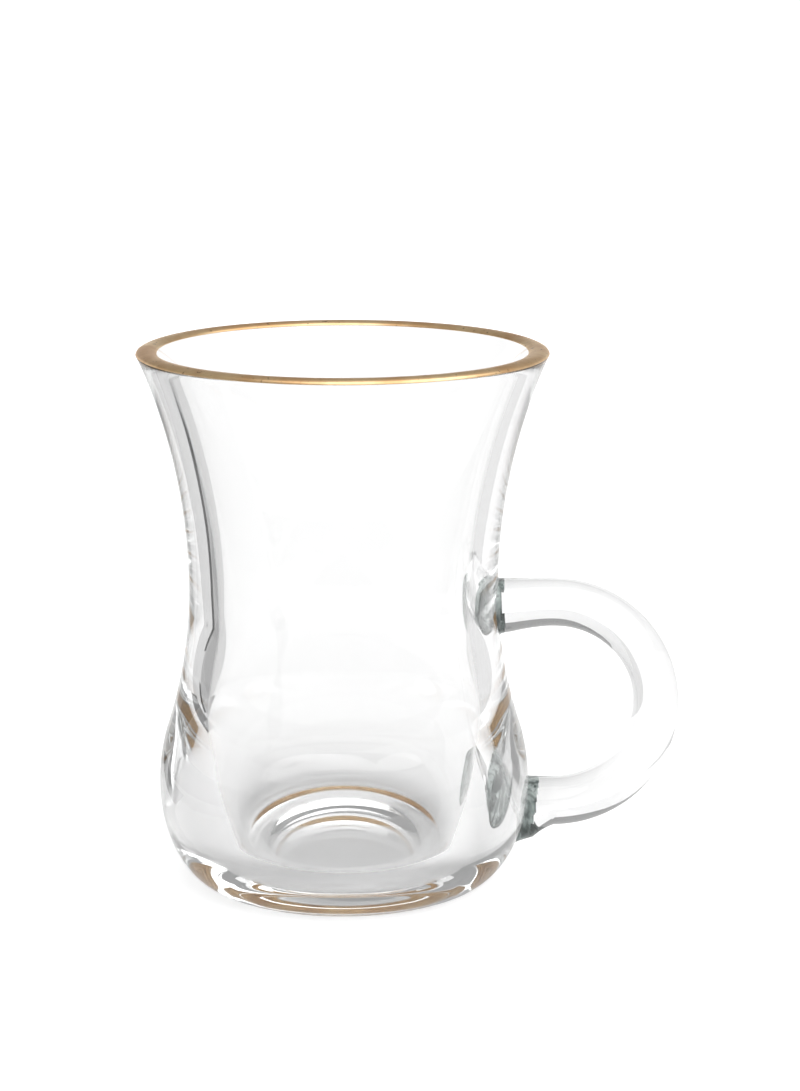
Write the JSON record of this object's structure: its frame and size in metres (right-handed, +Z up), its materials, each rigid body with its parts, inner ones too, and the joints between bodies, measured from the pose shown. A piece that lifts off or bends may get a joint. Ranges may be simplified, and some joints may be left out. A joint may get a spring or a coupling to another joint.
{
  "type": "coffee cup",
  "caption": "Small clear glass cup for coffee or tea, with a waisted bowl on a thick base, a strap handle and a fired gold band on the lip.",
  "frame": {"origin": "centre of the ring the cup stands on, on the table plane", "axes": "+Z up along the bowl's axis, +X towards the handle, +Y by the right-hand rule"},
  "size_m": [0.0825, 0.0622, 0.0831],
  "materials": {
    "clear_glass": "polished",
    "handle_glass": "fire polished",
    "fired_gold": "satin, slightly worn"
  },
  "bodies": {
    "root": {"bowl": "clear_glass", "handle": "handle_glass", "gold_rim": "fired_gold"}
  },
  "joints": []
}
